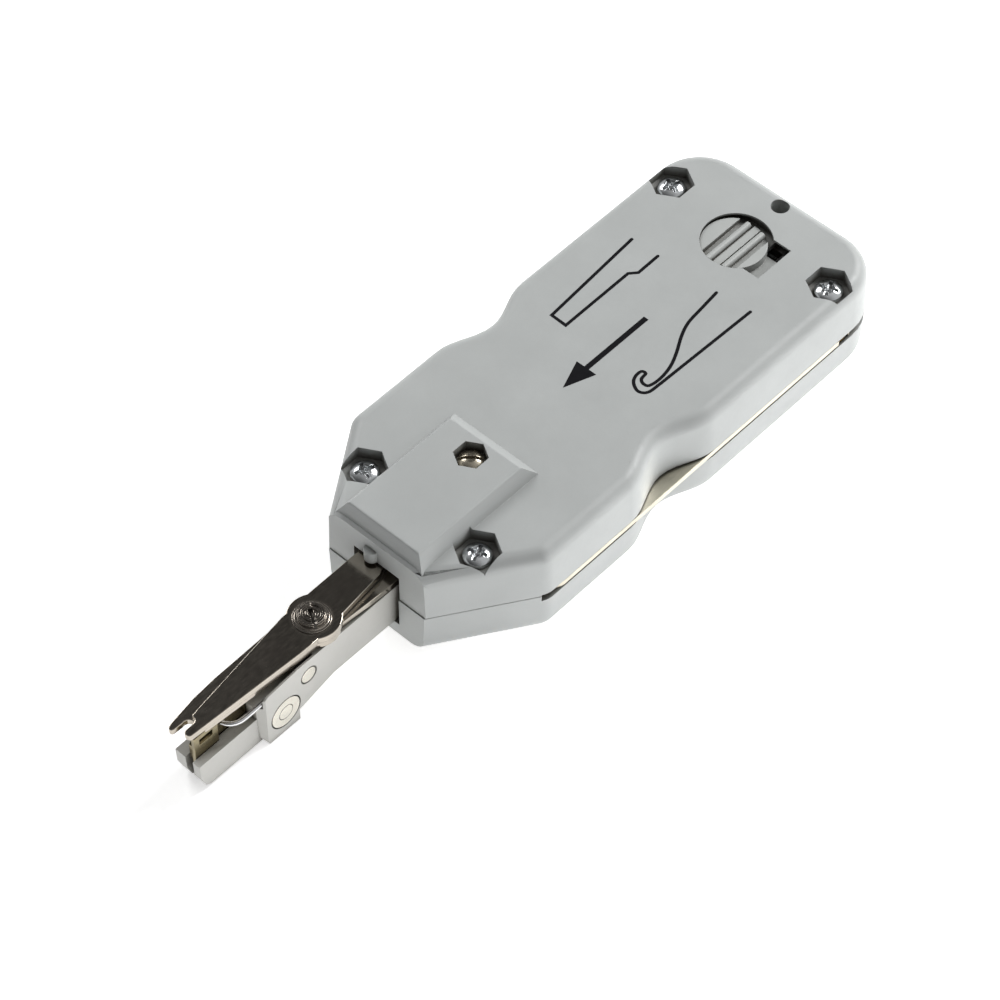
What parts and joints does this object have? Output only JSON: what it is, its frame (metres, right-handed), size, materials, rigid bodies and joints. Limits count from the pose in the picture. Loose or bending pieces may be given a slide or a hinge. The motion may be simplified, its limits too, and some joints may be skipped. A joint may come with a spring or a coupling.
{
  "type": "punch down tool",
  "caption": "Hand tool that presses wires into terminal strips: two-shell casing, sprung sliding head with wire scissors, folding hook and release blade, lock slider.",
  "frame": {"origin": "middle of the overall box, at the height of the lowest point of the head's foot", "axes": "+X to the working tip, +Y to the hook side, +Z to the face with the slider"},
  "size_m": [0.178, 0.053, 0.0282],
  "materials": {
    "casing_plastic": "satin",
    "head_plastic": "satin",
    "slider_plastic": "satin",
    "inner_plastic": "matte",
    "zinc_steel": "polished",
    "aged_zinc": "satin",
    "nickel_steel": "satin",
    "pivot_steel": "polished",
    "brass": "satin",
    "tool_steel": "brushed",
    "ground_steel": "satin",
    "spring_steel": "polished",
    "contact_steel": "satin",
    "pin_steel": "satin"
  },
  "bodies": {
    "casing": {"lower_shell": "casing_plastic", "upper_shell": "casing_plastic", "case_screws": "zinc_steel", "case_nuts": "zinc_steel", "block_screw": "aged_zinc", "block_nut": "zinc_steel", "cam_plate": "tool_steel", "spring_seat": "inner_plastic", "hook_bush": "ground_steel", "blade_bush": "ground_steel", "hook_washer": "brass", "blade_washer": "brass", "slider_retainer": "inner_plastic", "slider_leaf_spring": "spring_steel", "main_spring": "spring_steel"},
    "head": {"head_bar": "head_plastic", "guide_rod": "ground_steel", "rod_clip": "spring_steel", "pivot_screw": "pivot_steel", "pivot_washer": "pivot_steel", "pivot_insert": "brass", "insertion_blade": "contact_steel", "wire_anvil": "contact_steel", "bail_wire": "spring_steel", "clamp_pin": "pin_steel", "foot_pin": "pin_steel", "foot_washer": "pin_steel"},
    "upper_scissor": {"upper_scissor_blade": "nickel_steel", "upper_cam_pin": "ground_steel"},
    "lower_scissor": {"lower_scissor_blade": "nickel_steel", "lower_cam_pin": "ground_steel"},
    "hook_tool": {"hook": "tool_steel"},
    "blade_tool": {"release_blade": "tool_steel"},
    "lock": {"lock_slider": "slider_plastic", "lock_bar": "tool_steel"}
  },
  "joints": [
    {"name": "head_slide", "type": "slide", "parent": "casing", "child": "head", "axis": [-1, 0, 0], "range_m": [0, 0.008], "stiffness_N_per_m": 2500, "springref_m": -0.012, "deforming": ["main_spring"]},
    {"name": "upper_blade_close", "type": "hinge", "parent": "head", "child": "upper_scissor", "pos_m": [0.0532, 0, 0.0185], "axis": [0, 0, -1], "range_deg": [0, 3.1]},
    {"name": "lower_blade_close", "type": "hinge", "parent": "head", "child": "lower_scissor", "pos_m": [0.0532, 0, 0.0168], "axis": [0, 0, 1], "range_deg": [0, 3.1]},
    {"name": "hook_fold", "type": "hinge", "parent": "casing", "child": "hook_tool", "pos_m": [-0.0751, 0.02115, 0.01235], "axis": [0, 0, 1], "range_deg": [0, 180]},
    {"name": "blade_fold", "type": "hinge", "parent": "casing", "child": "blade_tool", "pos_m": [-0.0751, -0.02115, 0.01235], "axis": [0, 0, -1], "range_deg": [0, 180]},
    {"name": "lock_slide", "type": "slide", "parent": "casing", "child": "lock", "axis": [0, 1, 0], "range_m": [0, 0.004]}
  ],
  "couplings": [
    {"joint": "upper_blade_close", "follows": "head_slide", "rad_per_m": 6.545},
    {"joint": "lower_blade_close", "follows": "head_slide", "rad_per_m": 6.545}
  ]
}
